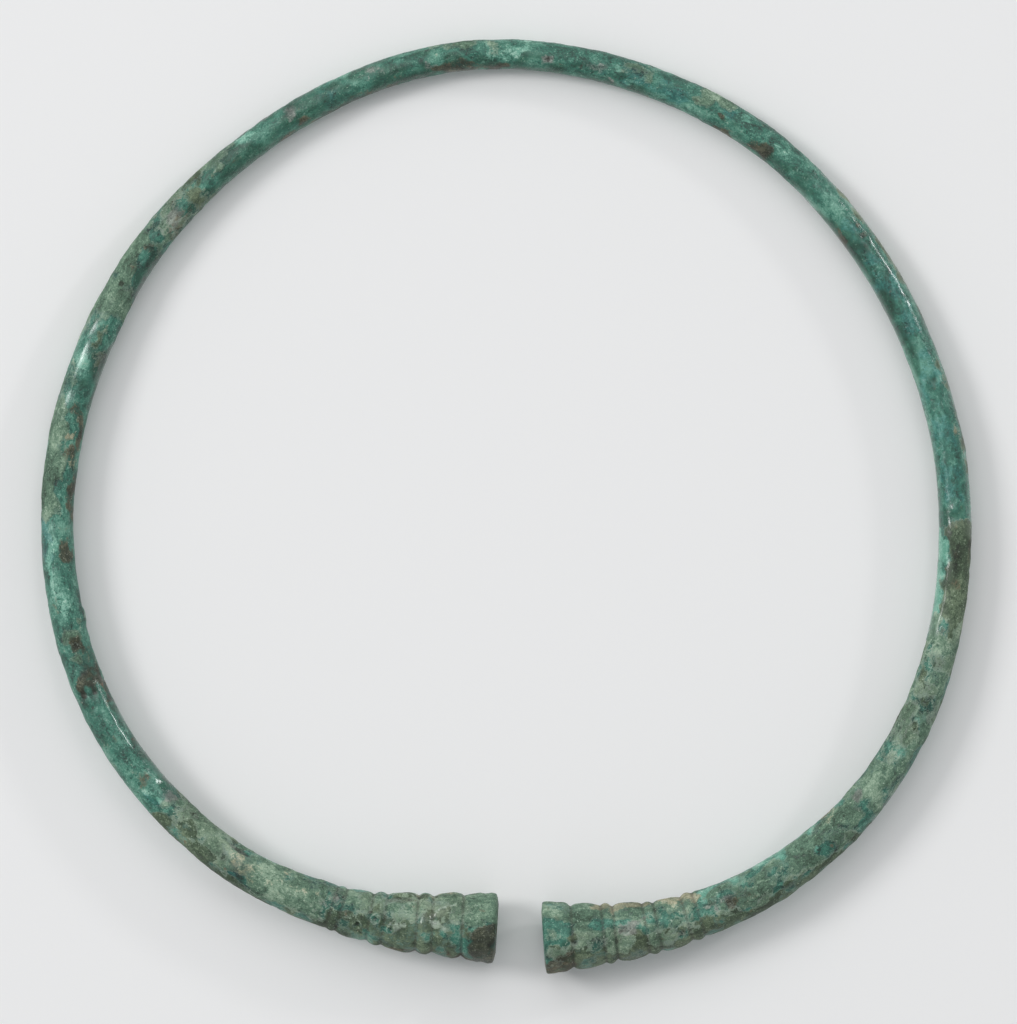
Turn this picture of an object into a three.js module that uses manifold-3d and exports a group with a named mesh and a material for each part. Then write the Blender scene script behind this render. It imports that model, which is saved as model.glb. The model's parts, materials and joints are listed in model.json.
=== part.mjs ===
// Bronze torc: one cast bar, bent into an open hoop, with moulded terminals that face each other
// across a narrow gap. Millimetres, +Z up. The hoop lies at rest on the plane z = 0, with the gap
// towards -Y, and the origin is under the middle of its bounding box.

import * as THREE from 'three';
import { mergeVertices } from 'three/addons/utils/BufferGeometryUtils.js';
import Module from 'manifold-3d';

// Centre line of the bar in plan, from the right-hand end round to the left-hand one: bearing from
// the middle of the hoop (degrees, anticlockwise from +X) and distance from the middle. The bar was
// bent by hand, so the distance wanders by a few millimetres.
const centreLine = [
  [-85.2, 69.8],
  [-77, 70.7],
  [-68, 72.3],
  [-55, 73.9],
  [-40, 74.8],
  [-25, 74.3],
  [-8, 72.8],
  [10, 71.8],
  [32, 71.3],
  [55, 72.2],
  [78, 72.7],
  [98, 73.1],
  [120, 71.7],
  [145, 71.3],
  [170, 71.9],
  [192, 73],
  [212, 73.3],
  [232, 72.3],
  [248, 70.2],
  [256, 69],
  [264, 67.9],
  [268.8, 67.9],
];

// Radius of the plain bar at distances from the right-hand end, between the mouldings. It is
// slimmest at the back of the hoop and thickens towards both terminals.
const barRadii = [
  [26, 4.14],
  [36, 3.72],
  [48, 3.4],
  [68, 3.06],
  [88, 2.8],
  [140, 2.72],
  [200, 2.7],
  [245, 2.45],
  [275, 2.62],
  [306, 2.88],
  [340, 2.8],
  [371, 2.92],
  [397, 3.12],
  [412, 3.52],
  [423, 3.93],
];

// Each terminal, from its end face inwards. The collar is an outline of [distance from the end
// face, radius]. Every member after it runs to the groove that closes it: its length, the radius
// of that groove, and how far it swells above the straight line between its two grooves.
const rightTerminal = {
  collar: [
    [0.2, 5.75], [0.35, 5.95], [0.8, 6], [1.5, 5.95], [2.4, 5.8], [3.6, 5.75], [4.2, 5.5],
    [4.75, 5.2],
  ],
  members: [
    { kind: 'bulb', length: 5.05, groove: 4.86, swell: 0.43 },
    { kind: 'ring', length: 1.9, groove: 4.5, swell: 0.37 },
    { kind: 'bulb', length: 5, groove: 4.31, swell: 0.45 },
    { kind: 'ring', length: 1.9, groove: 4.12, swell: 0.27 },
    { kind: 'bulb', length: 4.85, groove: 3.83, swell: 0.32 },
    { kind: 'ring', length: 2.05, groove: 3.9, swell: 0.27 },
  ],
};
const leftTerminal = {
  collar: [
    [0.35, 5.7], [0.6, 5.9], [1.3, 6], [2.2, 5.74], [3.1, 5.84], [3.9, 5.66], [4.8, 5.5],
    [5.3, 5.25], [5.7, 5.05],
  ],
  members: [
    { kind: 'bulb', length: 4.8, groove: 4.75, swell: 0.43 },
    { kind: 'ring', length: 2.5, groove: 4.68, swell: 0.37 },
    { kind: 'bulb', length: 5.3, groove: 4.32, swell: 0.37 },
    { kind: 'ring', length: 2.35, groove: 4, swell: 0.3 },
    { kind: 'bulb', length: 4.75, groove: 3.8, swell: 0.24 },
    { kind: 'ring', length: 1.6, groove: 3.78, swell: 0.13 },
  ],
};

// How each kind of member is drawn: steps along it, and where its crest sits. Bulbs are fullest
// towards the end face, rings are half round.
const memberKinds = {
  bulb: { steps: 6, crest: 0.7 },
  ring: { steps: 4, crest: 1 },
};

const endFlatRadius = 3.8; // flat middle of each slightly domed end face
const barSides = 24;
const barStep = 5; // spacing of the sections along the plain bar
const shoulder = 0.8; // from the last groove up to the plain bar
const restingFlat = 0.15; // depth of the small flats worn where the torc touches the ground
const backRadius = 2.6; // bar radius where the back of the hoop touches
const lipRadius = 6; // collar radius, where the terminals touch
const restLength = 142; // from the back's resting spot to those of the terminals

const bronze = new THREE.MeshStandardMaterial({
  name: 'patinated bronze',
  color: 0x3f6b5c,
  roughness: 0.55,
  metalness: 0.25,
});

// The bar's course as a smooth curve in the XY plane.
function makeCentreCurve() {
  const points = centreLine.map(([bearing, distance]) => {
    const angle = THREE.MathUtils.degToRad(bearing);
    return new THREE.Vector3(distance * Math.cos(angle), distance * Math.sin(angle), 0);
  });
  const curve = new THREE.CatmullRomCurve3(points, false, 'centripetal');
  curve.arcLengthDivisions = 2000;
  return curve;
}

// Outline of one terminal, [distance from its end face, radius], up to its last groove.
function terminalOutline(terminal) {
  const outline = terminal.collar.slice();
  for (const member of terminal.members) {
    const { steps, crest } = memberKinds[member.kind];
    const [start, startRadius] = outline[outline.length - 1];
    for (let step = 1; step <= steps; step += 1) {
      const share = step / steps;
      const straight = THREE.MathUtils.lerp(startRadius, member.groove, share);
      const swell = member.swell * Math.sin(Math.PI * share ** crest);
      outline.push([start + member.length * share, straight + swell]);
    }
  }
  return outline;
}

// Outline of the plain bar between two distances from the right-hand end.
function plainBarOutline(from, to) {
  const distances = barRadii.map(([distance]) => distance);
  const radii = barRadii.map(([, radius]) => radius);
  const taper = new THREE.CubicInterpolant(distances, radii, 1, new Float32Array(1));
  const count = Math.round((to - from) / barStep);
  const outline = [];
  for (let step = 0; step <= count; step += 1) {
    const distance = THREE.MathUtils.lerp(from, to, step / count);
    outline.push([distance, taper.evaluate(distance)[0]]);
  }
  return outline;
}

// The straight bar: turned about its own axis, with flat-centred end faces.
function makeStraightBar(length) {
  const right = terminalOutline(rightTerminal);
  const left = terminalOutline(leftTerminal).map(([distance, radius]) => [length - distance, radius]);
  const plain = plainBarOutline(
    right[right.length - 1][0] + shoulder,
    left[left.length - 1][0] - shoulder,
  );
  const outline = [
    [0, 0],
    [0, endFlatRadius],
    ...right,
    ...plain,
    ...left.reverse(),
    [length, endFlatRadius],
    [length, 0],
  ];
  const profile = outline.map(([distance, radius]) => new THREE.Vector2(radius, distance));
  return new THREE.LatheGeometry(profile, barSides);
}

// Bends the straight bar onto the course: its axis follows the curve, and the sections stay square.
function bendOnto(curve, geometry) {
  const length = curve.getLength();
  const up = new THREE.Vector3(0, 0, 1);
  const position = geometry.getAttribute('position');
  for (let index = 0; index < position.count; index += 1) {
    const share = THREE.MathUtils.clamp(position.getY(index) / length, 0, 1);
    const outward = curve.getTangentAt(share).cross(up);
    const point = curve.getPointAt(share);
    point.addScaledVector(outward, position.getX(index));
    point.addScaledVector(up, position.getZ(index));
    position.setXYZ(index, point.x, point.y, point.z);
  }
}

// Leans the flat hoop so that the thin back and both thick terminals reach the ground together,
// and sinks it by the depth of the resting flats.
function layAtRest(geometry) {
  geometry.rotateX(-Math.asin((lipRadius - backRadius) / restLength));
  geometry.computeBoundingBox();
  geometry.translate(0, 0, -geometry.boundingBox.min.z - restingFlat);
}

// A closed solid from a geometry: shared vertices merged, and the folded faces at the poles left out.
function toSolid(wasm, geometry) {
  const bare = geometry.clone();
  bare.deleteAttribute('normal');
  bare.deleteAttribute('uv');
  const merged = mergeVertices(bare);
  const corners = merged.getIndex().array;
  const faces = [];
  for (let start = 0; start < corners.length; start += 3) {
    const [a, b, c] = corners.slice(start, start + 3);
    if (a !== b && b !== c && c !== a) {
      faces.push(a, b, c);
    }
  }
  const mesh = new wasm.Mesh({
    numProp: 3,
    vertProperties: new Float32Array(merged.getAttribute('position').array),
    triVerts: new Uint32Array(faces),
  });
  return new wasm.Manifold(mesh);
}

// A three.js geometry from a solid, centred over the origin and standing on z = 0.
function toGeometry(solid) {
  const mesh = solid.getMesh();
  const geometry = new THREE.BufferGeometry();
  geometry.setAttribute('position', new THREE.BufferAttribute(mesh.vertProperties, 3));
  geometry.setIndex(new THREE.BufferAttribute(mesh.triVerts, 1));
  geometry.computeBoundingBox();
  const middle = geometry.boundingBox.getCenter(new THREE.Vector3());
  geometry.translate(-middle.x, -middle.y, -geometry.boundingBox.min.z);
  geometry.computeVertexNormals();
  return geometry;
}

// The ground under the hoop, as a block whose top is z = 0.
function makeGround() {
  const width = 200;
  const depth = 20;
  const ground = new THREE.BoxGeometry(width, width, depth);
  ground.translate(0, 0, -depth / 2);
  return ground;
}

function makeTorc(wasm) {
  const curve = makeCentreCurve();
  const bar = makeStraightBar(curve.getLength());
  bendOnto(curve, bar);
  layAtRest(bar);
  const resting = toSolid(wasm, bar).subtract(toSolid(wasm, makeGround()));
  const torc = new THREE.Mesh(toGeometry(resting), bronze);
  torc.name = 'torc';
  return torc;
}

const wasm = await Module();
wasm.setup();

const model = new THREE.Group();
model.add(makeTorc(wasm));

export default model;
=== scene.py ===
import itertools
import json
import math

import bpy
import numpy as np
from mathutils import Matrix, Vector


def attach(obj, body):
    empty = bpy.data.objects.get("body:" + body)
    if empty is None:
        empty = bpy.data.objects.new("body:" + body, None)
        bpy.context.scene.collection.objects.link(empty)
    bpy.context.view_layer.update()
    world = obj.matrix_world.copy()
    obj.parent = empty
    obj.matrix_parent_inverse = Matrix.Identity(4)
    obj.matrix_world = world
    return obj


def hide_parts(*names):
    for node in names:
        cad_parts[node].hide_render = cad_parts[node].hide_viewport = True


# A bronze torc: one cast bar bent into an open hoop, with moulded terminals that face each other
# across a narrow gap, under the green patina of a long burial. Metres in the scene; the bar's own
# sizes are given in millimetres and turned into metres where they are used.

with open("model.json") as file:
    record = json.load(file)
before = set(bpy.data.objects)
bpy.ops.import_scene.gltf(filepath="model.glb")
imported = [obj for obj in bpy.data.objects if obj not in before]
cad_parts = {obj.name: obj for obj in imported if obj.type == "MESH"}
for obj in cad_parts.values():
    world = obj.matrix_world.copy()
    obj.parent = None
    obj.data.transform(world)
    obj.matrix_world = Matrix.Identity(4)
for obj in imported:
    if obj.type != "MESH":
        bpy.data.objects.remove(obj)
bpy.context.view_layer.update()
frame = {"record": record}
mm = 0.001

# the bar, as the solid has it
bar = {
    # centre line in plan, right end to left end: bearing from the middle, distance (degrees, mm)
    "centreLine": [
        (-85.2, 69.8), (-77, 70.7), (-68, 72.3), (-55, 73.9), (-40, 74.8), (-25, 74.3),
        (-8, 72.8), (10, 71.8), (32, 71.3), (55, 72.2), (78, 72.7), (98, 73.1),
        (120, 71.7), (145, 71.3), (170, 71.9), (192, 73), (212, 73.3), (232, 72.3),
        (248, 70.2), (256, 69), (264, 67.9), (268.8, 67.9),
    ],
    # radius of the plain bar at distances from the right end (mm)
    "radii": [
        (26, 4.14), (36, 3.72), (48, 3.4), (68, 3.06), (88, 2.8), (140, 2.72), (200, 2.7),
        (245, 2.45), (275, 2.62), (306, 2.88), (340, 2.8), (371, 2.92), (397, 3.12),
        (412, 3.52), (423, 3.93),
    ],
    "endFlat": 3.8,          # flat middle of each end face
    "shoulder": 0.8,         # from the last groove up to the plain bar
    "lip": 6.0,              # collar radius, where the terminals touch the ground
    "backRadius": 2.6,       # bar radius where the back of the hoop touches
    "restLength": 142.0,     # between the resting spots of the back and of the terminals
    "sides": 92,             # faces round the bar
    "step": 0.5,             # between sections of the plain bar
    "fineStep": 0.225,       # between sections of the mouldings
    "fineLength": 29.5,      # length of a terminal that needs the fine step
    "firstStep": 0.06,       # from an end face to the first section
    "sample": 0.02,          # spacing at which the outline is worked out
    "softening": 300,        # samples to each side over which the plain bar's outline is smoothed
    "keepSharp": 6,          # beside the mouldings the outline isn't smoothed for this length
    "softenOver": 4,         # and then the smoothing sets in over this length
    "memberSteps": 24,       # points that draw one bulb or ring
}

# one terminal from its end face inwards: the collar's outline, then kind, length, closing groove, swell
rightTerminal = {
    "collar": [
        (0.2, 5.75), (0.35, 5.95), (0.8, 6), (1.5, 5.95), (2.4, 5.8), (3.6, 5.75), (4.2, 5.5),
        (4.75, 5.2),
    ],
    "members": [
        ("bulb", 5.05, 4.86, 0.43), ("ring", 1.9, 4.5, 0.37), ("bulb", 5, 4.31, 0.45),
        ("ring", 1.9, 4.12, 0.27), ("bulb", 4.85, 3.83, 0.32), ("ring", 2.05, 3.9, 0.27),
    ],
}
leftTerminal = {
    "collar": [
        (0.35, 5.7), (0.6, 5.9), (1.3, 6), (2.2, 5.74), (3.1, 5.84), (3.9, 5.66), (4.8, 5.5),
        (5.3, 5.25), (5.7, 5.05),
    ],
    "members": [
        ("bulb", 4.8, 4.75, 0.43), ("ring", 2.5, 4.68, 0.37), ("bulb", 5.3, 4.32, 0.37),
        ("ring", 2.35, 4, 0.3), ("bulb", 4.75, 3.8, 0.24), ("ring", 1.6, 3.78, 0.13),
    ],
}
crest = {"bulb": 0.7, "ring": 1.0}  # bulbs are fullest towards the end face, rings are half round


def makeCourse():
    # the centre line as a Bezier curve: a centripetal Catmull-Rom through the points, as in the solid
    points = []
    for bearing, distance in bar["centreLine"]:
        angle = math.radians(bearing)
        points.append(Vector((math.cos(angle), math.sin(angle), 0)) * distance * mm)
    padded = [points[0] * 2 - points[1], *points, points[-1] * 2 - points[-2]]
    data = bpy.data.curves.new("course", "CURVE")
    data.dimensions = "3D"
    data.twist_mode = "Z_UP"
    data.resolution_u = 96
    spline = data.splines.new("BEZIER")
    spline.bezier_points.add(len(points) - 1)
    for index, point in enumerate(spline.bezier_points):
        point.co = points[index]
        point.handle_left_type = "FREE"
        point.handle_right_type = "FREE"
        point.handle_left = points[index]
        point.handle_right = points[index]
    for index in range(len(points) - 1):
        before, start, end, after = padded[index:index + 4]
        gaps = [math.sqrt((b - a).length) for a, b in ((before, start), (start, end), (end, after))]
        leave = (start - before) / gaps[0] - (end - before) / (gaps[0] + gaps[1]) + (end - start) / gaps[1]
        arrive = (end - start) / gaps[1] - (after - start) / (gaps[1] + gaps[2]) + (after - end) / gaps[2]
        spline.bezier_points[index].handle_right = start + leave * gaps[1] / 3
        spline.bezier_points[index + 1].handle_left = end - arrive * gaps[1] / 3
    course = bpy.data.objects.new("course", data)
    bpy.context.scene.collection.objects.link(course)
    return course, spline.calc_length() / mm


def memberOutline(terminal):
    # [distance from the end face, radius] along one terminal, with every member drawn finely
    outline = list(terminal["collar"])
    steps = bar["memberSteps"]
    for kind, length, groove, swell in terminal["members"]:
        start, startRadius = outline[-1]
        for step in range(1, steps + 1):
            share = step / steps
            straight = startRadius + (groove - startRadius) * share
            rise = swell * math.sin(math.pi * share ** crest[kind])
            outline.append((start + length * share, straight + rise))
    return outline


def barOutline(length):
    # the whole outline resampled at the mesh's own steps: distances and radii, end face to end face
    right = memberOutline(rightTerminal)
    left = [(length - distance, radius) for distance, radius in memberOutline(leftTerminal)][::-1]
    plainFrom = right[-1][0] + bar["shoulder"]
    plainTo = left[0][0] - bar["shoulder"]
    plain = [(d, r) for d, r in bar["radii"] if plainFrom < d < plainTo]
    knots = np.array([(0, bar["endFlat"]), *right, *plain, *left, (length, bar["endFlat"])])
    grid = np.arange(0, length, bar["sample"])
    radius = np.interp(grid, knots[:, 0], knots[:, 1])
    window = np.hanning(2 * bar["softening"] + 1)
    padded = np.pad(radius, bar["softening"], mode="edge")
    soft = np.convolve(padded, window / window.sum(), "valid")
    fromRight = np.clip((grid - plainFrom - bar["keepSharp"]) / bar["softenOver"], 0, 1)
    fromLeft = np.clip((plainTo - bar["keepSharp"] - grid) / bar["softenOver"], 0, 1)
    radius = radius + (soft - radius) * fromRight * fromLeft
    fine = bar["fineLength"]
    terminalSteps = np.arange(bar["firstStep"], fine, bar["fineStep"])
    body = [
        terminalSteps,
        np.arange(fine, length - fine, bar["step"]),
        length - terminalSteps[::-1],
    ]
    distances = np.concatenate(body)
    return distances, np.interp(distances, grid, radius)


def chosen(piece):
    # makes this the one selected and active object
    if bpy.context.mode != "OBJECT":
        bpy.ops.object.mode_set(mode="OBJECT")
    bpy.ops.object.select_all(action="DESELECT")
    bpy.context.view_layer.objects.active = piece
    piece.select_set(True)
    return piece


def modelBar(length):
    # one point, drawn out along the outline and spun about the bar's axis
    distances, radii = barOutline(length)
    outline = [(0, bar["endFlat"] * share) for share in (0.35, 0.7, 1.0)]
    outline += list(zip(distances, radii))
    outline += [(length, bar["endFlat"] * share) for share in (1.0, 0.7, 0.35)]
    outline.append((length, 0))
    bpy.ops.object.select_all(action="DESELECT")
    bpy.ops.mesh.primitive_plane_add(size=0.001)
    piece = bpy.context.object
    piece.name = "torc_bronze"
    piece.data.name = "torc_bronze"
    bpy.ops.object.mode_set(mode="EDIT")
    bpy.ops.mesh.select_all(action="SELECT")
    bpy.ops.mesh.merge(type="CENTER")
    last = (0, 0)
    for distance, radius in outline:
        step = ((distance - last[0]) * mm, 0, (radius - last[1]) * mm)
        bpy.ops.mesh.extrude_region_move(TRANSFORM_OT_translate={"value": step})
        last = (distance, radius)
    bpy.ops.mesh.select_all(action="SELECT")
    bpy.ops.mesh.spin(steps=bar["sides"], angle=math.tau, center=(0, 0, 0), axis=(1, 0, 0))
    bpy.ops.mesh.select_all(action="SELECT")
    bpy.ops.mesh.remove_doubles(threshold=0.000005)
    bpy.ops.mesh.normals_make_consistent(inside=False)
    bpy.ops.object.mode_set(mode="OBJECT")
    bpy.ops.object.shade_smooth()
    return piece


def coordinates(piece):
    flat = np.zeros(len(piece.data.vertices) * 3)
    piece.data.vertices.foreach_get("co", flat)
    return flat.reshape(-1, 3)


def setCoordinates(piece, places):
    piece.data.vertices.foreach_set("co", places.ravel())
    piece.data.update()


def straightPlaces(piece):
    # what every later step needs to know of each point of the straight bar: distance from the right
    # end (mm), turn from the top towards the inner side (degrees), radius and place (mm)
    straight = coordinates(piece) / mm
    return {
        "straight": straight,
        "distance": straight[:, 0],
        "turn": np.degrees(np.arctan2(straight[:, 1], straight[:, 2])),
        "radius": np.hypot(straight[:, 1], straight[:, 2]),
    }


def lattice(places, size, seed):
    # smooth random values, 0 to 1, between the corners of a grid of this size (mm)
    cells = places / size
    low = np.floor(cells.min(0)).astype(int)
    whole = np.floor(cells).astype(int)
    part = cells - whole
    part = part * part * (3 - 2 * part)
    whole -= low
    table = np.random.default_rng(seed).random(whole.max(0) + 2)
    total = np.zeros(len(places))
    for corner in itertools.product((0, 1), repeat=3):
        weight = np.where(corner, part, 1 - part).prod(axis=1)
        total += weight * table[tuple((whole + corner).T)]
    return total


def fractal(places, size, seed, octaves=4, stretch=(1, 1, 1)):
    # several lattices, each half the size of the last; most values lie between 0 and 1
    places = places / np.array(stretch)
    total = 0
    for octave in range(octaves):
        total = total + (lattice(places, size / 2 ** octave, seed + octave) - 0.5) / 2 ** octave
    return 0.5 + total * 1.25


def ease(value, low, high):
    # 0 below low, 1 above high, smooth between; the other way round where low is the larger
    share = np.clip((value - low) / (high - low), 0, 1)
    return share * share * (3 - 2 * share)


# Where each kind of corrosion lies: from and to along the bar (mm), from and to round it (degrees
# from the top, + towards the inner side), and how much of that place it covers, 0 to 1.
patches = {
    "sage": [  # pale grey-green crust, matt
        # the first one, on the right terminal's inner side, is partly painted light: the side turned to the
        # light is made paler
        (-1, 27, 25, 110, 0.8), (-1, 27, -30, 25, 0.45), (27, 57, -30, 60, 0.7),
        (57, 75, -70, 110, 0.7), (75, 90, -90, 110, 0.6), (185, 192, -110, -10, 0.8),
        (199, 203, -60, 30, 0.5), (225, 236, -110, 0, 0.6), (268, 282, -110, -30, 0.8),
        (282, 288, -110, 60, 0.5), (287, 301, -120, 18, 1.0), (299, 304, -110, 90, 0.9),
        (304, 320, -110, -10, 0.4), (320, 338, -110, 10, 0.8), (355, 364, -20, 30, 0.5),
        (369, 388, -100, -50, 0.4), (388, 401, 0, 110, 0.65), (401, 418, -40, 80, 0.9),
        (418, 427, -20, 70, 0.6), (426, 441, 15, 110, 0.6), (439, 452, 2, 130, 1.0),
    ],
    "olive": [  # olive to grey-brown crust
        # the first one darkens the right terminal's outer half: partly its own crust, partly painted shade
        # on the side turned away from the light
        (-1, 27, -120, 0, 0.75), (27, 55, -120, -25, 0.7), (65, 73, 0, 90, 0.5),
        (88, 106, -120, 16, 1.0), (73, 88, -110, 90, 0.5), (113, 165, -120, -62, 0.6),
        (276, 287, -110, 90, 0.5), (305, 312, -10, 40, 0.4), (388, 402, -110, 110, 0.8),
        (402, 420, -120, -45, 0.7), (418, 442, -120, -15, 0.7), (426, 441, -20, 90, 0.6),
    ],
    "brown": [  # bare dark metal and brown oxide
        (-1, 4.5, -120, -35, 0.6), (2, 4, 10, 40, 0.4), (31, 35.5, -10, 20, 0.5),
        (97, 106, -100, -60, 0.45), (92, 104, -30, 15, 0.3), (154, 158, -35, -10, 0.7),
        (156, 160, 55, 100, 0.7), (175.5, 180, 10, 75, 0.9), (177, 185, 50, 100, 0.8),
        (220, 230, 30, 80, 0.6), (228.5, 233.5, 25, 60, 0.7), (240, 262, 50, 100, 0.4),
        (246, 249.5, 30, 60, 0.5), (256, 258.5, 25, 60, 0.6), (270, 273, -20, 30, 0.6),
        (281, 290, -20, 60, 0.5), (318, 322, -20, 60, 0.5), (322, 346, 32, 100, 0.55),
        (340, 345, -15, 60, 0.7), (350, 352.5, -50, -20, 0.8), (357, 359.5, 0, 30, 0.9),
        (364, 368, -42, -15, 1.0), (365, 367.5, 0, 25, 0.9), (357, 369, 35, 80, 0.6),
        (377, 384, -25, 15, 0.6), (441.4, 452, -120, -6, 0.9), (427, 441, -110, -55, 0.5),
    ],
    "mint": [  # bright turquoise and mint
        (26, 50, 30, 100, 0.6), (67, 73.5, -25, 5, 0.75), (89.5, 104.5, 22, 120, 1.0),
        (0, 4, 25, 80, 0.3), (169, 176, -60, 10, 0.4), (180, 184, -60, 10, 0.5),
        (200, 206, -50, 40, 0.35), (219, 226, -40, 5, 0.5), (264, 268, -60, -20, 0.4),
        (309, 314, -25, 5, 0.9), (336, 350, -50, -10, 0.6), (384, 388, -25, 15, 0.7),
        (349, 357, -30, 20, 0.5),
    ],
    "deep": [  # smooth dark green
        (57.5, 65.6, -120, -50, 1.0), (104.5, 109.5, -20, 60, 0.7), (129, 131, -30, 30, 0.6),
        # the first one darkens the right terminal's outer side and top: partly its own colour, partly
        # painted shade
        (2, 28, -90, 12, 0.55), (130, 182, 20, 100, 0.5), (192, 236, 15, 100, 0.55),
        (236, 275, -60, 100, 0.62), (273.5, 284, 15, 100, 0.9), (290.5, 299.5, 20, 110, 1.0),
        (308, 317, 18, 100, 0.9), (365, 379, -50, 10, 0.4), (416, 425, 22, 60, 0.8),
        (399.5, 404, 30, 55, 1.0), (432, 440, 25, 60, 0.6), (369, 388, 50, 110, 0.6),
    ],
    "blue": [  # blue-green gloss
        (109, 125, -40, 50, 0.6), (125, 150, -50, 50, 0.4), (183.5, 185.5, -30, 0, 0.9),
        (193, 206, -10, 60, 0.5), (249, 256, -30, 10, 0.5), (337, 346, -50, -20, 0.7),
        (383, 387, -50, -20, 0.7), (150, 160, -20, 50, 0.4), (399, 404, -30, 0, 0.8),
    ],
    "ochre": [  # cream to tan earth
        (9, 26, 55, 100, 0.7), (50, 54, 38, 100, 0.6), (121, 123.5, -45, -25, 0.6),
        (322, 329, 35, 60, 0.5), (337, 339.5, -60, -40, 0.5), (401, 418, -10, 50, 0.3),
        (434, 441, 60, 90, 0.4),
    ],
    "lilac": [  # grey-violet to pinkish film
        (12, 16, -5, 30, 0.5), (25, 31, -10, 30, 0.6), (205.5, 210, -20, 30, 0.7),
        (214.8, 216.2, 8, 28, 1.0), (243, 245, -50, 0, 0.7), (256, 259, -50, 0, 0.6),
        (232, 236, 10, 40, 0.5), (57.5, 59, 20, 45, 0.8), (281, 288, -30, 40, 0.4),
        (386, 389, 10, 35, 0.4), (414, 423, 0, 30, 0.3),
    ],
    "gloss": [  # polished by handling: not a colour but a smooth, shining skin
        (104, 168, -100, 110, 1.0), (89.5, 104.5, 18, 120, 1.0), (303, 320, -50, 0, 0.75),
        (363, 389, 5, 70, 1.0), (57.5, 65.6, -120, -50, 0.8), (290.5, 299.5, 20, 110, 0.9),
        (308, 317, 18, 110, 0.9), (399, 404, -30, 60, 0.7), (432, 440, -30, 30, 0.7),
        (427, 432, -35, 10, 0.6), (337, 350, -50, -10, 0.6),
    ],
}


# how the patches' edges wander and fray (mm)
edges = {
    "slide": 4.5,        # shift along the bar
    "slideSize": 3.5,    # size of the waves in that shift
    "creep": 3.6,        # shift round the bar
    "creepSize": 3.0,
    "raggedSize": 2.2,   # size of the tears
    "ragged": 0.8,       # depth of the tears, as a share
    "softAlong": 1.3,    # half the width of the soft edge across the bar
    "softRound": 1.1,    # half the width of the soft edge along the bar
    "fullLength": 7,     # shorter patches are shifted less
}


def coverage(at, kind, seed):
    # how much of each point this kind covers: the patches bent out of true, with soft ragged edges
    straight = at["straight"]
    slide = (fractal(straight, edges["slideSize"], seed, 3) - 0.5) * edges["slide"]
    creep = (fractal(straight, edges["creepSize"], seed + 5, 3) - 0.5) * edges["creep"]
    ragged = fractal(straight, edges["raggedSize"], seed + 9, 4) - 0.5
    level = np.zeros(len(straight))
    arc = np.radians(1) * np.maximum(at["radius"], 2)
    for start, end, low, high, amount in patches[kind]:
        give = min(1, (end - start) / edges["fullLength"])
        distance = at["distance"] + slide * give
        along = np.minimum(distance - start, end - distance)
        across = np.minimum(at["turn"] - low, high - at["turn"]) * arc + creep * give
        insideAlong = ease(along, -edges["softAlong"], edges["softAlong"])
        insideRound = ease(across, -edges["softRound"], edges["softRound"])
        level = np.maximum(level, np.minimum(insideAlong, insideRound) * amount)
    return np.clip(level + ragged * edges["ragged"] * ease(level, 0, 0.4), 0, 1)


def paintPatches(piece, at):
    # writes each kind's cover, and the place on the straight bar, as attributes that the finish reads
    masks = {}
    for index, kind in enumerate(patches):
        masks[kind] = coverage(at, kind, 40 + 10 * index)
        attribute = piece.data.attributes.new(kind, "FLOAT", "POINT")
        attribute.data.foreach_set("value", masks[kind].astype(np.float32))
    place = piece.data.attributes.new("straight", "FLOAT_VECTOR", "POINT")
    place.data.foreach_set("vector", at["straight"].astype(np.float32).ravel())
    return masks


# the relief raised on the smooth bar (mm, and shares from 0 to 1)
relief = {
    "crustHeight": 0.10,     # how far the crusts stand above the smooth patina
    "wobble": 0.10,          # long unevenness of the hammered bar
    "corrosion": 0.09,       # roughness a few millimetres across
    "grain": 0.05,           # roughness under a millimetre
    "marks": 1.5,            # strength of the single marks listed one by one
    "groove": 0.13,          # grooves between the mouldings, cut sharper
    "shrink": 0.1,           # keeps the rough surface inside the solid's box
    "polish": 0.88,          # share of the roughness that the glossy stretches lose
    "grooveShade": 0.7,             # share of a groove that gets painted shade
    "endFace": 0.03,         # how near the ends a point belongs to an end face
}


def arcFrom(at, distance, turn):
    # millimetres along and round the bar from one place to every point
    turned = (at["turn"] - turn + 180) % 360 - 180
    return at["distance"] - distance, np.radians(turned) * at["radius"]


def dimple(at, distance, turn, size, depth, rim=0.0):
    # a round pit, or with a negative depth a boss, with a raised rim if asked
    along, across = arcFrom(at, distance, turn)
    away = np.hypot(along, across) / size
    bowl = -depth * (1 - ease(away, 0.25, 1.0))
    return bowl + rim * np.exp(-((away - 1.05) / 0.28) ** 2)


def ridge(at, course, width, height):
    # a raised line through [distance, turn] places, thinner towards its ends
    best = np.full(len(at["distance"]), 99.0)
    share = np.zeros(len(best))
    for index, (start, end) in enumerate(zip(course, course[1:])):
        along, across = arcFrom(at, *start)
        run = end[0] - start[0]
        rise = np.radians(end[1] - start[1]) * at["radius"]
        part = np.clip((along * run + across * rise) / (run * run + rise * rise), 0, 1)
        away = np.hypot(along - part * run, across - part * rise)
        closer = away < best
        best = np.where(closer, away, best)
        share = np.where(closer, (index + part) / (len(course) - 1), share)
    taper = np.sqrt(np.clip(np.sin(np.pi * np.clip(share, 0.03, 0.97)), 0, 1))
    return height * taper * np.exp(-(best / width) ** 2)


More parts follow.
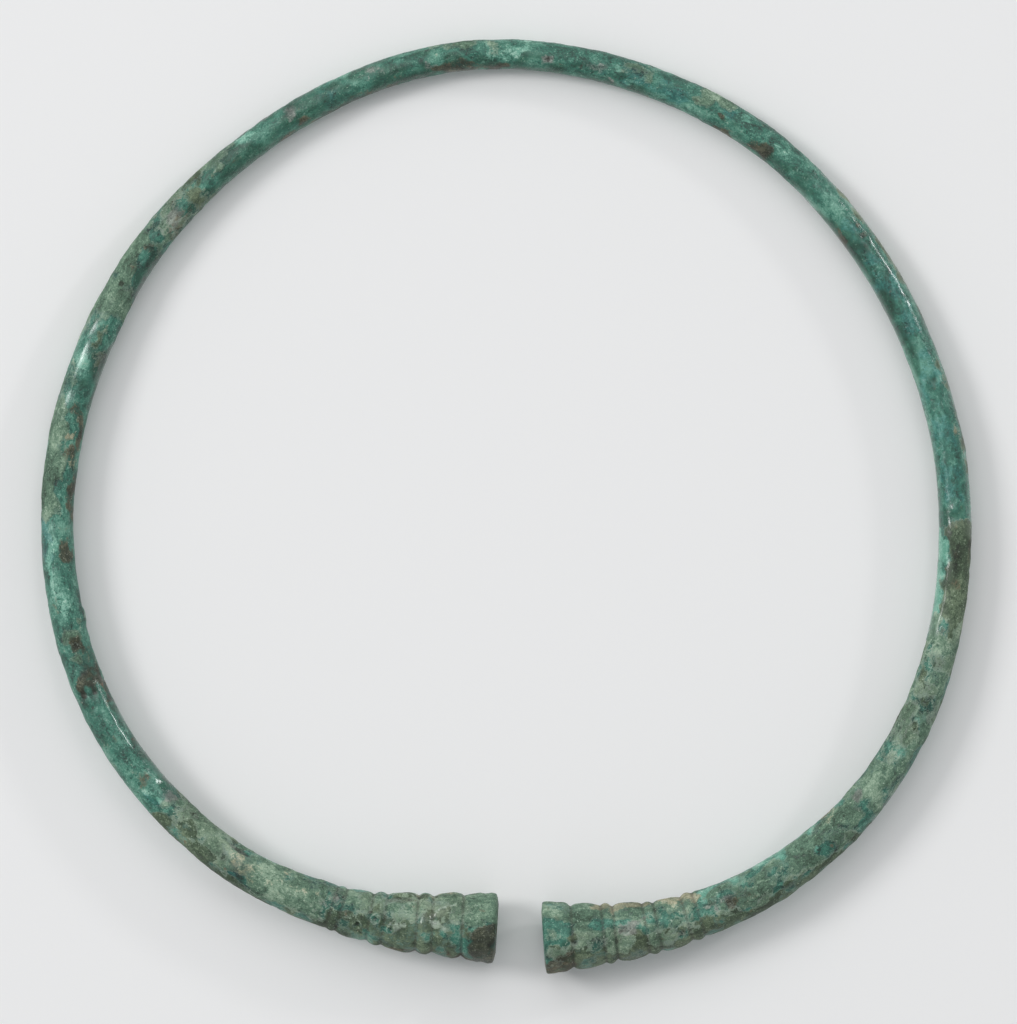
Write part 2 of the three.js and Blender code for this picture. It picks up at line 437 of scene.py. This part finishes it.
def leaf(at, start, end, turn, halfWidth, height):
    # a pointed, slightly sunk panel along the bar, with a raised outline
    along, across = arcFrom(at, (start + end) / 2, turn)
    half = (end - start) / 2
    edge = halfWidth * np.clip(1 - (along / half) ** 2, 0, 1) ** 0.8
    beyond = np.where(abs(along) < half, abs(across) - edge, np.hypot(abs(along) - half, across))
    return height * np.exp(-(beyond / 0.28) ** 2) - 0.5 * height * ease(-beyond, 0.1, 0.6)


def leftEnd(distance):
    # turns a distance from one end of the bar into the distance from the other
    return barLength - distance


collarReach = 5.8  # how far in from its end face the left collar reaches (mm)


def placedRelief(at):
    # the marks that can be told apart: bosses, ringed pits and leaves on the left terminal, ledges,
    # pits and one small bulge along the bar
    total = np.zeros(len(at["distance"]))
    for distance, turn, size, depth, rim in (
        (leftEnd(9.9), 2, 1.3, -0.3, 0), (leftEnd(8.6), -4, 0.8, -0.2, 0),
        (leftEnd(11.0), 8, 0.7, -0.15, 0), (leftEnd(16.1), -8, 1.1, -0.28, 0),
        (leftEnd(15.0), -4, 0.8, -0.22, 0), (leftEnd(17.0), -17, 0.6, 0.14, 0.22),
        (leftEnd(19.7), 0, 0.75, 0.12, 0.24), (leftEnd(22.3), -21, 0.6, 0.3, 0.24),
        (leftEnd(21.6), -42, 0.4, 0.15, 0.05), (leftEnd(22.0), -35, 0.35, 0.12, 0.04),
        (leftEnd(24.0), 24, 0.9, -0.12, 0), (leftEnd(3.0), -25, 1.5, 0.12, 0),
        (215.5, 17, 0.75, 0.22, 0.08), (297.7, -8, 0.8, 0.2, 0.05), (13.2, 8, 1.2, 0.1, 0),
        (58.2, 30, 0.6, 0.12, 0.06), (108.6, 5, 0.8, -0.12, 0), (155.6, -20, 1.0, 0.14, 0),
        (366, -28, 1.1, 0.2, 0.03), (358.2, 12, 0.9, 0.18, 0.03), (366.3, 12, 0.8, 0.16, 0),
        (353.8, 92, 2.2, -0.22, 0), (81.9, 12, 0.5, -0.15, 0), (5.2, -10, 1.0, 0.1, 0),
        (22, -30, 1.3, 0.12, 0), (34, 5, 1.3, 0.1, 0), (130, -12, 1.0, 0.1, 0),
    ):
        total += dimple(at, distance, turn, size, depth, rim)
    total += leaf(at, leftEnd(18.6), leftEnd(13.0), 52, 1.35, 0.2)
    total += ridge(at, [(leftEnd(10.6), 20), (leftEnd(9.2), 32), (leftEnd(7.3), 36),
                        (leftEnd(6.2), 48)], 0.3, 0.25)
    total += ridge(at, [(leftEnd(10.4), 58), (leftEnd(8.5), 66), (leftEnd(6.6), 60)], 0.3, 0.2)
    total += ridge(at, [(107.9, -28), (108.6, -38), (109.4, -28), (109.2, -8)], 0.22, 0.12)
    total += ridge(at, [(291, 18), (294, 21), (297.5, 18), (299.5, 23)], 0.22, 0.1)
    total += ridge(at, [(388.3, 20), (389.5, 5), (391.5, -4)], 0.25, 0.12)
    total += ridge(at, [(402, -62), (403.5, -52), (404.2, -58)], 0.22, 0.12)
    total += ridge(at, [(399.4, 34), (402, 40), (404, 34)], 0.25, 0.1)
    along, across = arcFrom(at, 402, 44)
    total -= 0.28 * np.exp(-(along / 1.9) ** 2 - (across / 0.55) ** 2)
    # the collar's beads stand proud on its outer side and are worn away on its inner side
    collar = ease(leftEnd(at["distance"]), collarReach, 4.6)
    outer = ease(-at["turn"], 20, 80)
    total -= collar * (1 - outer) * 0.25
    return total


def scatteredPits(at):
    # small corrosion pits, thick on the rough stretches and rare on the glossy ones
    rng = np.random.default_rng(7)
    total = np.zeros(len(at["distance"]))
    for start, end, count, deepest in (
        (0, 60, 170, 0.12), (60, 106, 70, 0.08), (106, 165, 40, 0.06), (165, 275, 330, 0.13),
        (275, 320, 80, 0.09), (320, 350, 50, 0.08), (350, 388, 110, 0.13), (388, 447, 170, 0.11),
    ):
        for _ in range(count):
            place = rng.uniform(start, end)
            turn = rng.uniform(-180, 180)
            size = rng.uniform(0.35, 0.95)
            near = np.flatnonzero(abs(at["distance"] - place) < 2)
            local = {name: at[name][near] for name in ("distance", "turn", "radius")}
            total[near] += dimple(local, place, turn, size, rng.uniform(0.3, 1) * deepest, 0.01)
    return total


def grooveCloseness(at):
    # how deep each point lies in the grooves between the mouldings
    deep = np.zeros(len(at["distance"]))
    width = 0.5
    for terminal, inward in ((rightTerminal, at["distance"]), (leftTerminal, leftEnd(at["distance"]))):
        groove = terminal["collar"][-1][0]
        deep += np.exp(-((inward - groove) / width) ** 2)
        for _, length, _, _ in terminal["members"]:
            groove += length
            deep += np.exp(-((inward - groove) / width) ** 2)
    return deep


def raiseRelief(piece, at, masks):
    # moves every point in or out, and keeps what the finish needs: dark pits with painted shade in the
    # grooves, proud and rough
    straight = at["straight"]
    crust = np.maximum(masks["sage"], masks["olive"])
    smooth = np.maximum(masks["gloss"], masks["deep"] * (1 - crust) * 0.5)
    rough = 1 - relief["polish"] * smooth
    height = crust * relief["crustHeight"] * (0.7 + 0.6 * fractal(straight, 1.6, 5, 3))
    height -= relief["crustHeight"]
    height += relief["wobble"] * (fractal(straight, 14, 11, 2, (1.6, 1, 1)) - 0.5)
    height += relief["corrosion"] * rough * (fractal(straight, 2.8, 21, 3) - 0.5)
    height += relief["grain"] * rough * (fractal(straight, 0.9, 31, 2) - 0.5)
    marks = placedRelief(at) * relief["marks"]
    grooves = grooveCloseness(at)
    pits = scatteredPits(at)
    height += marks + pits
    height -= grooves * relief["groove"] + relief["shrink"]
    atEnd = (at["distance"] < relief["endFace"]) | (leftEnd(at["distance"]) < relief["endFace"])
    moved = straight.copy()
    scale = np.where(atEnd | (at["radius"] < 0.1), 1, 1 + height / np.maximum(at["radius"], 0.1))
    moved[:, 1:] *= scale[:, None]
    inward = np.where(at["distance"] < barLength / 2, -1, 1)
    moved[:, 0] += np.where(atEnd, inward * np.minimum(height * 0.6, 0), 0)
    setCoordinates(piece, moved * mm)
    # painted shade: the grooves between the mouldings are darkened in the colour
    grooveShade = grooves * relief["grooveShade"]
    hollow = np.clip(ease(-marks - pits, 0.03, 0.22) + grooveShade, 0, 1)
    # on the left collar, lowered on its inner side, only the painted shade of the grooves is kept
    hollow = np.where(leftEnd(at["distance"]) < collarReach, grooveShade, hollow)
    # raised marks, which the finish paints pale as a highlight
    proud = ease(marks, 0.06, 0.3)
    for name, values in (("hollow", hollow), ("proud", proud), ("rough", rough)):
        attribute = piece.data.attributes.new(name, "FLOAT", "POINT")
        attribute.data.foreach_set("value", values.astype(np.float32))


def unrollMap(piece, at, rows=5, margin=0.006):
    # the bar unrolled in rows, one above the other, for the finish that goes with the shape
    mesh = piece.data
    corners = np.zeros(len(mesh.loops), int)
    mesh.loops.foreach_get("vertex_index", corners)
    owner = np.repeat(np.arange(len(mesh.polygons)), [p.loop_total for p in mesh.polygons])
    flatPart = np.clip(bar["endFlat"] - at["radius"], 0, None)
    atRight = at["distance"] < 0.01
    atLeft = at["distance"] > barLength - 0.01
    reach = bar["endFlat"] + at["distance"] - np.where(atRight, flatPart, 0) + np.where(atLeft, flatPart, 0)
    total = barLength + 2 * bar["endFlat"]
    along = reach[corners]
    turn = at["turn"][corners] / 360 + 0.5
    pole = at["radius"][corners] < 0.01
    count = len(mesh.polygons)
    lowest = np.full(count, 9.0)
    highest = np.full(count, -9.0)
    np.minimum.at(lowest, owner[~pole], turn[~pole])
    np.maximum.at(highest, owner[~pole], turn[~pole])
    wraps = (highest - lowest > 0.5)[owner]
    turn = np.where(wraps & (turn < 0.5), turn + 1, turn)
    middle = np.bincount(owner, np.where(pole, 0, turn), count) / np.bincount(owner, ~pole, count)
    turn = np.where(pole, middle[owner], turn)
    centre = np.bincount(owner, along, count) / np.bincount(owner, minlength=count)
    row = np.clip((centre / total * rows).astype(int), 0, rows - 1)[owner]
    across = (along / total * rows - row) * (1 - 4 * margin) + 2 * margin
    slack = 0.02
    fullTurn = 1.06  # faces on the seam reach a little past one turn
    side = np.clip((turn - slack) / fullTurn + slack, 0, 1)
    up = (row + margin * rows + side * (1 - 2 * margin * rows)) / rows
    layer = mesh.uv_layers.new(name="OFBake")
    layer.data.foreach_set("uv", np.column_stack([across, up]).ravel())


def bendAndLay(piece, course):
    # bends the straight bar onto its course, then leans it so that back and terminals touch down
    chosen(piece)
    bend = piece.modifiers.new("bend", "CURVE")
    bend.object = course
    bend.deform_axis = "POS_X"
    bpy.ops.object.modifier_apply(modifier=bend.name)
    lean = math.asin((bar["lip"] - bar["backRadius"]) / bar["restLength"])
    turn = np.array(Matrix.Rotation(-lean, 3, "X"))
    places = coordinates(piece) @ turn.T
    faces = {mount["name"]: np.array(mount["pos_m"]) for mount in frame["record"]["mounts"]}
    ends = course.data.splines[0].bezier_points
    fromRight = faces["right_end_face"] - turn @ np.array(ends[0].co)
    fromLeft = faces["left_end_face"] - turn @ np.array(ends[-1].co)
    places += (fromRight + fromLeft) / 2
    places[:, 2] = np.maximum(places[:, 2], 0)
    setCoordinates(piece, places)


course, barLength = makeCourse()
print("bar: length", round(barLength, 2), "mm")
torc = modelBar(barLength)
print("bar: faces", len(torc.data.polygons))
bearings = straightPlaces(torc)
masks = paintPatches(torc, bearings)
print("patina: painted", ", ".join(masks))
raiseRelief(torc, bearings, masks)
unrollMap(torc, bearings)
print("relief: raised")
bendAndLay(torc, course)
bpy.data.objects.remove(course)
print("torc: bent and laid at rest")


class Wire:
    # one output socket, so that shader maths can be written as plain expressions
    def __init__(self, tree, socket=None):
        self.tree = tree
        self.socket = socket

    def node(self, kind, sockets=None, settings=None, output=0):
        # adds a node: its settings first, then the values or links of its sockets
        made = self.tree.nodes.new(kind)
        for name, value in (settings or {}).items():
            if name == "stops":
                self.setStops(made.color_ramp, value)
            else:
                setattr(made, name, value)
        for name, value in (sockets or {}).items():
            if isinstance(value, Wire):
                self.tree.links.new(value.socket, made.inputs[name])
            else:
                made.inputs[name].default_value = value
        return Wire(self.tree, made.outputs[output])

    def setStops(self, ramp, stops):
        while len(ramp.elements) < len(stops):
            ramp.elements.new(0.5)
        for element, (place, colour) in zip(ramp.elements, stops):
            element.position = place
            element.color = colour

    def math(self, operation, first, second):
        return self.node("ShaderNodeMath", {0: first, 1: second}, {"operation": operation})

    def __add__(self, other):
        return self.math("ADD", self, other)

    def __radd__(self, other):
        return self.math("ADD", other, self)

    def __sub__(self, other):
        return self.math("SUBTRACT", self, other)

    def __rsub__(self, other):
        return self.math("SUBTRACT", other, self)

    def __mul__(self, other):
        return self.math("MULTIPLY", self, other)

    def __rmul__(self, other):
        return self.math("MULTIPLY", other, self)

    def max(self, other):
        return self.math("MAXIMUM", self, other)

    def clamp(self, low, high):
        return self.node("ShaderNodeClamp", {"Value": self, "Min": low, "Max": high})

    def painted(self, colour):
        # this plain colour node with its colour filled in
        self.socket.default_value = colour
        return self

    def step(self, low, high):
        # 0 below low, 1 above high, smooth between
        settings = {"interpolation_type": "SMOOTHSTEP"}
        return self.node("ShaderNodeMapRange", {"Value": self, "From Min": low, "From Max": high}, settings)

    def over(self, under, share):
        # this colour laid over another by a share
        settings = {"data_type": "RGBA", "clamp_factor": True}
        return self.node("ShaderNodeMix", {0: share, 6: under, 7: self}, settings, 2)


def linear(red, green, blue):
    # a colour as a paint chart gives it, 0 to 255, turned into linear light
    parts = []
    for value in (red, green, blue):
        value = value / 255
        parts.append(value / 12.92 if value <= 0.04045 else ((value + 0.055) / 1.055) ** 2.4)
    return (*parts, 1.0)


# each kind of corrosion, from its dark hollows through its own colour to its palest grains
tones = {
    "teal": ((15, 46, 36), (54, 116, 98), (124, 178, 156)),
    "blue": ((14, 54, 50), (44, 114, 106), (100, 166, 154)),
    "mint": ((70, 126, 108), (106, 168, 146), (178, 214, 196)),
    "deep": ((14, 46, 34), (32, 84, 66), (70, 130, 108)),
    "sage": ((42, 62, 46), (95, 123, 100), (164, 184, 158)),
    "olive": ((32, 40, 26), (72, 84, 58), (128, 140, 108)),
    "brown": ((24, 24, 16), (62, 60, 44), (116, 108, 84)),
    "ochre": ((100, 98, 74), (148, 146, 118), (208, 198, 168)),
    "lilac": ((68, 70, 68), (110, 114, 108), (162, 166, 158)),
}
toneStops = (0.18, 0.5, 0.84)

# the kinds laid over the teal ground, lowest first, and how solidly each one covers
layers = {
    "blue": 0.8,
    "deep": 1.0,
    "mint": 0.9,
    "olive": 0.85,
    "sage": 0.85,
    "lilac": 0.8,
    "brown": 0.9,
    "ochre": 0.85,
}

finish = {
    "earthAndShade": linear(34, 36, 26),      # dark earth in the pits and specks, and painted shade in the grooves
    "paleHighlight": linear(190, 208, 190),  # painted highlight on raised marks and along the crust edges
    "fleck": linear(206, 222, 206),   # pale crystals
    "red": linear(128, 84, 60),       # specks of red oxide
    "patchEdge": (0.26, 0.74),        # where a patch sets in and where it is full
    "coat": 0.65,                     # gloss of the polished stretches
    "coatRoughness": 0.15,
    "metal": 0.25,                    # how metallic the bare brown places are
    "refraction": 1.5,
    "specular": 0.55,
    "toothStrength": 0.85,            # fine relief too small for the mesh
    "toothDepth": 0.00014,            # metres
}


def patinaMaterial():
    # the patches in their tones, then dirt, wear and specks, then gloss and fine tooth
    material = bpy.data.materials.new("green patina")
    material.use_nodes = True
    tree = material.node_tree
    shader = tree.nodes["Principled BSDF"]
    start = Wire(tree)

    def attribute(name, output="Fac"):
        return start.node("ShaderNodeAttribute", {}, {"attribute_name": name}, output)

    straight = attribute("straight", "Vector")

    def stretched(scale):
        sockets = {"Vector": straight, "Scale": scale}
        return start.node("ShaderNodeMapping", sockets, {"vector_type": "POINT"}, "Vector")

    def noise(scale, detail=4.0, roughness=0.6, warp=0.0, vector=straight):
        sockets = {"Vector": vector, "Scale": scale, "Detail": detail, "Roughness": roughness,
                   "Distortion": warp}
        return start.node("ShaderNodeTexNoise", sockets, {"noise_dimensions": "3D"}, "Fac")

    def toned(kind):
        stops = [(place, linear(*colour)) for place, colour in zip(toneStops, tones[kind])]
        return start.node("ShaderNodeValToRGB", {"Fac": tone}, {"stops": stops}, "Color")

    def plain(name):
        return start.node("ShaderNodeRGB").painted(finish[name])

    broad = noise(0.14, 2, 0.5)
    mottle = noise(0.5, 6, 0.68, 0.7, stretched((0.6, 1.0, 1.0)))
    fleck = noise(1.5, 4, 0.68, 0.9)
    grain = noise(4.6, 2, 0.6)
    cells = start.node("ShaderNodeTexVoronoi", {"Vector": straight, "Scale": 1.05, "Randomness": 1.0},
                       {"feature": "SMOOTH_F1"}, "Distance")
    rough = attribute("rough")
    tone = 0.5 + (broad - 0.5) * 0.6 + (mottle - 0.5) * 1.15 + (fleck - 0.5) * 0.75
    tone = tone + (grain - 0.5) * (0.15 + 0.4 * rough)
    edge = (fleck - 0.5) * 1.1 + (mottle - 0.5) * 0.9 + (grain - 0.5) * 0.3

    def patch(name):
        return (attribute(name) + edge).step(*finish["patchEdge"])

    covers = {kind: patch(kind) for kind in layers}
    skin = toned("teal")
    for kind, share in layers.items():
        skin = toned(kind).over(skin, covers[kind] * share)
    sage = covers["sage"]
    olive = covers["olive"]

    # pits hold dark earth and the grooves get painted shade, raised marks and crust edges get a painted
    # highlight, and specks lie over everything
    hollow = (attribute("hollow") + (fleck - 0.5) * 0.7).step(0.3, 0.95)
    # dark earth in the pits and painted shade in the grooves
    skin = plain("earthAndShade").over(skin, hollow * 0.75)
    # painted highlight: pale on the raised marks and in a thin band along the crust edges
    proud = (attribute("proud") + (fleck - 0.5) * 1.6).step(0.5, 1.3)
    rim = sage * (1 - sage) + olive * (1 - olive)
    skin = plain("paleHighlight").over(skin, proud * 0.5 + rim.step(0.17, 0.3) * 0.3)
    scatter = grain * 0.55 + fleck * 0.45
    skin = plain("fleck").over(skin, scatter.step(0.58, 0.70) * (0.15 + 0.45 * rough))
    skin = plain("earthAndShade").over(skin, scatter.step(0.42, 0.32) * (0.3 + 0.4 * rough))
    skin = plain("red").over(skin, (fleck * 0.4 + cells * 0.9).step(0.86, 1.0) * 0.4)
    tree.links.new(skin.socket, shader.inputs["Base Color"])

    # the smooth patina shines, the crusts are matt
    crust = sage.max(olive * 0.8).max(covers["ochre"])
    shine = 0.2 + 0.34 * crust + 0.3 * (fleck - 0.5) + 0.2 * rough - 0.05 * covers["deep"]
    tree.links.new(shine.clamp(0.16, 0.85).socket, shader.inputs["Roughness"])
    tree.links.new((covers["brown"] * finish["metal"]).socket, shader.inputs["Metallic"])
    coat = ((1 - rough) * finish["coat"]).clamp(0, 1)
    tree.links.new(coat.socket, shader.inputs["Coat Weight"])
    shader.inputs["Coat Roughness"].default_value = finish["coatRoughness"]

    # fine tooth: flaking crust, pits and grain
    tooth = fleck * 1.3 + grain * 0.5 + mottle * 0.8 - cells.step(0.30, 0.08) * 0.5
    tooth = tooth * (0.12 + 0.88 * rough) + crust * 0.9
    sockets = {"Height": tooth, "Strength": finish["toothStrength"], "Distance": finish["toothDepth"]}
    bump = start.node("ShaderNodeBump", sockets)
    tree.links.new(bump.socket, shader.inputs["Normal"])
    shader.inputs["IOR"].default_value = finish["refraction"]
    shader.inputs["Specular IOR Level"].default_value = finish["specular"]
    return material


torc.data.materials.append(patinaMaterial())
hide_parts("torc")
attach(torc, "root")
print("finish: patina on the torc")

# the camera looks straight down (metres; the sensor in millimetres)
view = {
    "height": 1.1,        # camera above the floor
    "across": 0.1640,     # what the picture's width shows at the torc's mid height
    "midHeight": 0.005,
    "aside": (0.0004, -0.00097),  # from the torc's middle to the point looked at
    "sensor": 36.0,
}

studio = {
    "floorSize": 3.0,
    "floorColour": (0.88, 0.875, 0.87, 1),
    "floorRoughness": 0.8,
    "skyColour": (0.95, 0.975, 1.0, 1),
    "skyStrength": 0.46,
}


def makeFloor():
    bpy.ops.object.select_all(action="DESELECT")
    bpy.ops.mesh.primitive_plane_add(size=studio["floorSize"])
    floor = bpy.context.object
    floor.name = "floor"
    material = bpy.data.materials.new("pale card")
    material.use_nodes = True
    shader = material.node_tree.nodes["Principled BSDF"]
    shader.inputs["Base Color"].default_value = studio["floorColour"]
    shader.inputs["Roughness"].default_value = studio["floorRoughness"]
    floor.data.materials.append(material)


def makeCamera():
    data = bpy.data.cameras.new("camera")
    data.sensor_fit = "HORIZONTAL"
    data.sensor_width = view["sensor"]
    data.lens = view["sensor"] * (view["height"] - view["midHeight"]) / view["across"]
    camera = bpy.data.objects.new("camera", data)
    camera.location = (*view["aside"], view["height"])
    bpy.context.scene.collection.objects.link(camera)
    bpy.context.scene.camera = camera


# where each light stands: bearing from the torc, height (degrees), distance, size (m), power (W)
lights = {
    "window": (161, 41, 3.0, 0.9, 31),
    "skylight": (100, 56, 3.0, 3.0, 28),
    "lamp": (33, 24, 3.0, 0.3, 11),
}


def makeLights():
    for name, (bearing, rise, distance, size, power) in lights.items():
        data = bpy.data.lights.new(name, "AREA")
        data.shape = "SQUARE"
        data.size = size
        data.energy = power
        light = bpy.data.objects.new(name, data)
        turn = math.radians(bearing)
        lift = math.radians(rise)
        place = Vector((math.cos(turn) * math.cos(lift), math.sin(turn) * math.cos(lift), math.sin(lift)))
        light.location = place * distance
        light.rotation_euler = place.to_track_quat("Z", "Y").to_euler()
        bpy.context.scene.collection.objects.link(light)
    world = bpy.data.worlds.new("studio")
    world.use_nodes = True
    background = world.node_tree.nodes["Background"]
    background.inputs["Color"].default_value = studio["skyColour"]
    background.inputs["Strength"].default_value = studio["skyStrength"]
    bpy.context.scene.world = world


makeFloor()
makeCamera()
makeLights()
bpy.context.scene.view_settings.view_transform = "Standard"
print("studio: floor, camera and lights")
